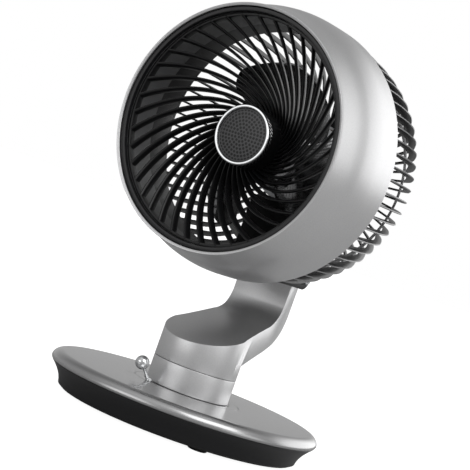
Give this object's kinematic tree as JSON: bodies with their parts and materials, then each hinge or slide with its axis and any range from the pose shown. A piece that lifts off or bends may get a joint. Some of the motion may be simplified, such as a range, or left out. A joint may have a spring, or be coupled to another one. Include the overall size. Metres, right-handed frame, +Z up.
{
  "type": "air circulator fan",
  "caption": "Table-top air circulator fan with a spiral front grille in a round shell, a finned rear cage, a swivelling arm that tilts the head, and a round weighted base.",
  "frame": {"origin": "middle of the round base at the height of the table, under the feet", "axes": "+Z up, the fan blows towards -Y at rest, +X to the right of someone facing the grille from the front"},
  "size_m": [0.23, 0.23, 0.3536],
  "materials": {
    "satin_silver": "satin silver paint",
    "gloss_silver": "glossy silver-grey lacquer",
    "chrome": "polished",
    "steel": "bare",
    "black_plastic": "fine satin",
    "black_gloss": "gloss",
    "charcoal": "satin",
    "dark_grey": "satin",
    "rubber": "matte",
    "iron": "as cast",
    "winding": "lacquered wire",
    "circuit_board": "solder mask",
    "brass": "turned",
    "lens": "clear tinted"
  },
  "bodies": {
    "base": {"base_housing": "black_plastic", "base_plate": "gloss_silver", "base_weight": "iron", "power_inlet": "black_plastic", "control_board": "circuit_board", "indicator_lens": "lens", "neck_collar": "satin_silver", "shaft_bush": "brass", "swing_motor": "steel", "swivel_washer": "brass", "speed_switch": "black_plastic", "rubber_foot_1": "rubber", "rubber_foot_2": "rubber", "rubber_foot_3": "rubber", "rubber_foot_4": "rubber", "base_screw_1": "steel", "base_screw_2": "steel", "base_screw_3": "steel", "base_screw_4": "steel"},
    "arm_body": {"arm": "satin_silver", "swing_shaft": "steel", "swing_gear": "black_plastic"},
    "pinion": {"swing_pinion": "brass"},
    "selector": {"selector_ring": "gloss_silver", "selector_lever": "chrome"},
    "head": {"head_mount": "black_plastic", "tilt_pin": "steel", "tilt_nut": "steel", "shell": "satin_silver", "duct": "dark_grey", "front_grille": "black_gloss", "hub_ring": "chrome", "hub_cap": "charcoal", "motor_housing": "steel", "front_bearing": "steel", "rear_bearing": "steel", "stator": "winding", "motor_end_plate": "steel", "motor_screw_1": "steel", "motor_screw_2": "steel", "motor_screw_3": "steel", "rear_grille": "charcoal", "cage_hoop": "dark_grey", "motor_cover": "charcoal"},
    "rotor": {"impeller": "black_plastic", "spinner_nut": "black_plastic", "rotor_shaft": "steel", "motor_core": "steel"}
  },
  "joints": [
    {"name": "swing", "type": "hinge", "parent": "base", "child": "arm_body", "pos_m": [0, -0.001, 0.052], "axis": [0, 0, 1], "range_deg": [-45, 45]},
    {"name": "head_tilt", "type": "hinge", "parent": "arm_body", "child": "head", "pos_m": [0, 0.0665, 0.15], "axis": [-1, 0, 0], "range_deg": [-10, 45]},
    {"name": "blade_spin", "type": "hinge", "parent": "head", "child": "rotor", "pos_m": [0, 0, 0.2422], "axis": [0, -1, 0], "continuous": true},
    {"name": "selector_turn", "type": "hinge", "parent": "base", "child": "selector", "pos_m": [0, -0.001, 0.031], "axis": [0, 0, 1], "range_deg": [-30, 60]},
    {"name": "swing_pinion_spin", "type": "hinge", "parent": "base", "child": "pinion", "pos_m": [0, 0.0353, 0.02], "axis": [0, 0, 1], "range_deg": [-136, 136]}
  ],
  "couplings": [
    {"joint": "swing_pinion_spin", "follows": "swing", "ratio": -3}
  ]
}
